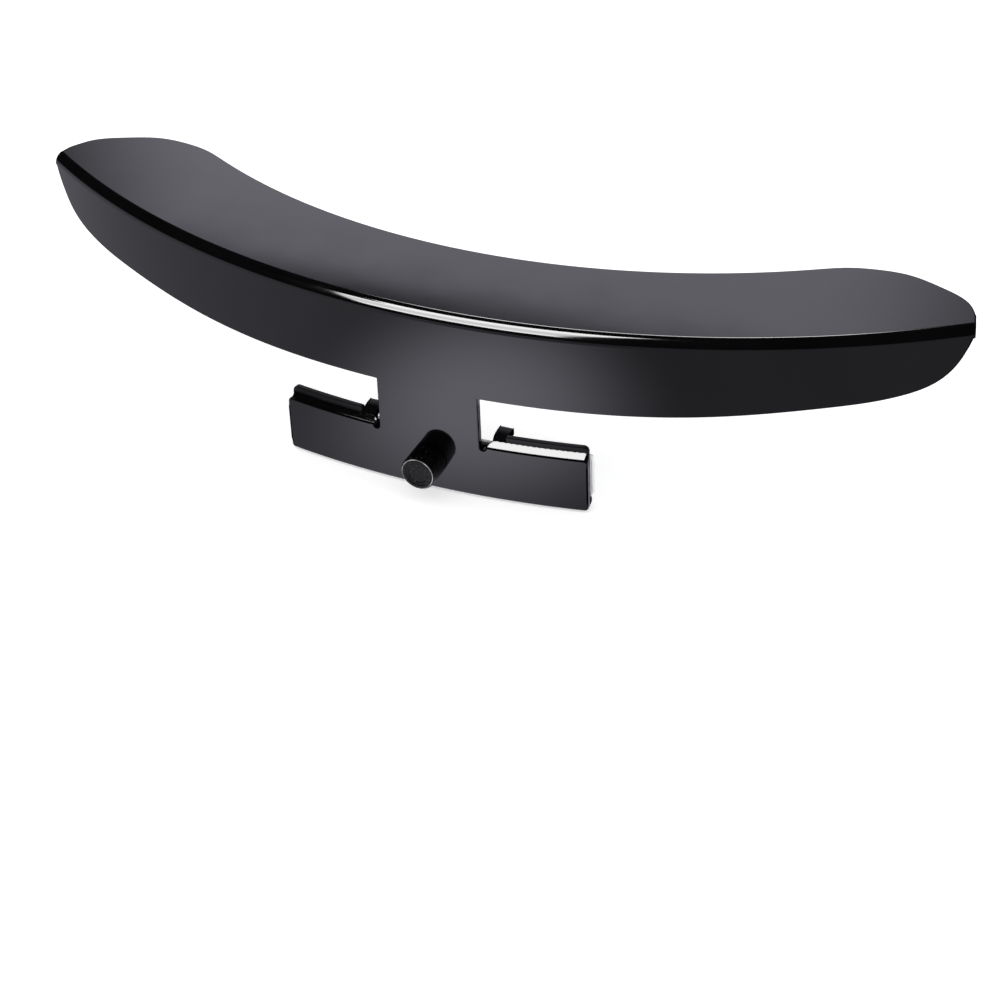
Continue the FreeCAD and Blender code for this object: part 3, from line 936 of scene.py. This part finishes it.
# Place, target, and width and height of each card
BACK_CARD = ((-662, 1500, 655), (-662, 0, 655), (1155, 800))
BACK_STRIP = ((-560, 1500, 1480), (-560, 0, 1480), (760, 440))
FRONT_BOX = ((-400, -568, 1012), (-400, 55, 229), (740, 1330))
FLAG = ((-810, -165, 1200), (-810, -164, 0), (420, 400))
# Brightness of each card, and the shares of its half width and half height that fade out
BACK_CARD_LIGHT = (1.3, (0.5, 0.09))
BACK_STRIP_LIGHT = (11.0, (0.3, 0.2))
FRONT_BOX_LIGHT = (20.0, (0.15, 0.04))
STRAND_PLACE = -150.0           # middle of the dimmer band, up the front box from its own middle
STRAND_HALF = 350.0             # half of the band's width
STRAND_LIGHT = 0.68


def build_floor():
    """Large pale floor with a faint glow of its own, like a light table."""
    z = FOOT_BOTTOM - FLOOR_DROP
    corners = [(x * FLOOR_HALF, y * FLOOR_HALF, z) for x, y in ((-1, -1), (1, -1), (1, 1), (-1, 1))]
    floor = mesh_object("floor", corners, [[0, 1, 2, 3]])
    material, tree, shader, place = new_material("floor_pale")
    colour = ramp(tree, noise(tree, place, 3.0), [(0.3, (0.87, 0.87, 0.87)), (0.7, (0.90, 0.90, 0.90))])
    tree.links.new(colour, shader.inputs["Base Color"])
    shader.inputs["Roughness"].default_value = 0.95
    shader.inputs["Specular IOR Level"].default_value = 0.0
    shader.inputs["Emission Color"].default_value = (1.0, 1.0, 1.0, 1.0)
    shader.inputs["Emission Strength"].default_value = FLOOR_GLOW
    floor.data.materials.append(material)


def build_world():
    world = bpy.data.worlds.new("studio")
    world.use_nodes = True
    background = world.node_tree.nodes["Background"]
    background.inputs["Color"].default_value = (1.0, 1.0, 1.0, 1.0)
    background.inputs["Strength"].default_value = WORLD_LIGHT
    bpy.context.scene.world = world


def aimed(thing, place, target):
    """Puts a card or the camera at a place, in millimetres, looking at a target."""
    thing.location = Vector(place) * MM
    thing.rotation_mode = "QUATERNION"
    thing.rotation_quaternion = (Vector(target) - Vector(place)).to_track_quat("-Z", "Y")


def only_reflected(thing):
    """Studio gear that nothing but a reflection shows."""
    thing.visible_camera = False
    thing.visible_diffuse = False
    thing.visible_shadow = False


def glowing(name, strength, tint=WHITE):
    """Black material that gives off light. Strength is a number or a function that makes a socket."""
    material, tree, shader, place = new_material(name)
    shader.inputs["Base Color"].default_value = (0.0, 0.0, 0.0, 1.0)
    shader.inputs["Specular IOR Level"].default_value = 0.0
    shader.inputs["Roughness"].default_value = 1.0
    shader.inputs["Emission Color"].default_value = (*tint, 1.0)
    if callable(strength):
        tree.links.new(strength(tree, place), shader.inputs["Emission Strength"])
    else:
        shader.inputs["Emission Strength"].default_value = strength
    return material


def card(name, place, target, size, strength, tint=WHITE):
    """Glowing studio card, for reflections only."""
    w, h = size[0] / 2, size[1] / 2
    thing = mesh_object(name, [(-w, -h, 0), (w, -h, 0), (w, h, 0), (-w, h, 0)], [[0, 1, 2, 3]])
    aimed(thing, place, target)
    thing.data.materials.append(glowing(name, strength, tint))
    only_reflected(thing)
    return thing


def smooth_fade(tree, value, zero_at, full_at, strength, curve):
    """Strength that eases from zero to full between two values."""
    node = tree.nodes.new("ShaderNodeMapRange")
    node.interpolation_type = curve
    node.inputs["From Min"].default_value = zero_at
    node.inputs["From Max"].default_value = full_at
    node.inputs["To Max"].default_value = strength
    tree.links.new(value, node.inputs["Value"])
    return node.outputs["Result"]


def soft_fade(size, strength, edges):
    """Strength that fades out over those shares of a card's half width and half height."""
    def build(tree, place):
        where = coordinates(tree, place)
        fades = [smooth_fade(tree, size_of(tree, where[axis]), across / 2 * MM, across / 2 * MM * (1 - edge),
                             full, "SMOOTHSTEP")
                 for axis, across, edge, full in zip("XY", size, edges, (strength, 1.0))]
        return product(tree, *fades)
    return build


def two_strands(whole):
    """The same strength with a dimmer band across it, which parts its reflection into two strands."""
    def build(tree, place):
        dim = band(tree, coordinates(tree, place)["Y"], STRAND_PLACE, STRAND_HALF)
        return product(tree, whole(tree, place), spread(tree, dim, 1.0, STRAND_LIGHT, 0.0, 1.0))
    return build


def table_sheen(tree, place):
    """Light of the table as reflections see it: one soft bright patch in front of the tongue, on a slope."""
    mapping = tree.nodes.new("ShaderNodeMapping")
    mapping.vector_type = "TEXTURE"
    mapping.inputs["Location"].default_value = (SHEEN_PLACE[0] * MM, SHEEN_PLACE[1] * MM, 0.0)
    mapping.inputs["Scale"].default_value = (SHEEN_SPREAD[0] * MM, SHEEN_SPREAD[1] * MM, 1.0)
    tree.links.new(place, mapping.inputs["Vector"])
    away = distance(tree, mapping.outputs["Vector"], (1.0, 1.0, 0.0))
    patch = smooth_fade(tree, away, SHEEN_REACH, 0.0, SHEEN_LIGHT, "SMOOTHERSTEP")
    slope = spread(tree, coordinates(tree, place)["X"], *TABLE_LIGHT, *TABLE_SPAN)
    return combined(tree, "ADD", patch, slope)


def build_tent():
    """Nearly black tent with a softly lit table inside it, for reflections only."""
    low = FOOT_BOTTOM - FLOOR_DROP + TABLE_LIFT
    t = TENT
    corners = [(x, y, z) for z in (low, 2 * t) for x, y in ((-t, -t), (t, -t), (t, t), (-t, t))]
    sides = [[0, 1, 5, 4], [1, 2, 6, 5], [2, 3, 7, 6], [3, 0, 4, 7], [4, 5, 6, 7]]
    walls = mesh_object("tent", corners, sides)
    walls.data.materials.append(glowing("tent", TENT_GLOW))
    only_reflected(walls)
    table = mesh_object("table", corners[:4], [[0, 1, 2, 3]])
    table.data.materials.append(glowing("table", table_sheen, TABLE_TINT))
    only_reflected(table)


def build_cards(edges):
    """The cards that the gloss shows: a dim one behind for the plate, and bright ones for the edges alone."""
    card("back_card", *BACK_CARD, soft_fade(BACK_CARD[2], *BACK_CARD_LIGHT), BACK_TINT)
    bright = [card("back_strip", *BACK_STRIP, soft_fade(BACK_STRIP[2], *BACK_STRIP_LIGHT)),
              card("front_box", *FRONT_BOX, two_strands(soft_fade(FRONT_BOX[2], *FRONT_BOX_LIGHT)))]
    flag = card("flag", *FLAG, 0.0)
    flag.visible_shadow = True
    receivers = bpy.data.collections.new("edges")
    receivers.objects.link(edges)
    for thing in bright + [flag]:
        thing.light_linking.receiver_collection = receivers


# ---------------------------------------------------------------- camera

CAMERA_PLACE = (254.1, -510.6, 383.7)
CAMERA_TARGET = (18.84, -4.72, -7.81)
CAMERA_ROLL = -0.041
CAMERA_LENS = 99.7


def build_camera():
    camera = bpy.data.cameras.new("camera")
    camera.lens = CAMERA_LENS
    camera.sensor_width = 36.0
    camera.clip_start = 0.01
    thing = bpy.data.objects.new("camera", camera)
    bpy.context.scene.collection.objects.link(thing)
    aimed(thing, CAMERA_PLACE, CAMERA_TARGET)
    roll = Matrix.Rotation(CAMERA_ROLL, 3, "Z").to_quaternion()
    thing.rotation_quaternion = thing.rotation_quaternion @ roll
    bpy.context.scene.camera = thing


bpy.context.scene.view_settings.view_transform = "Standard"
EDGES = build_pieces()
build_floor()
build_world()
build_tent()
build_cards(EDGES)
build_camera()
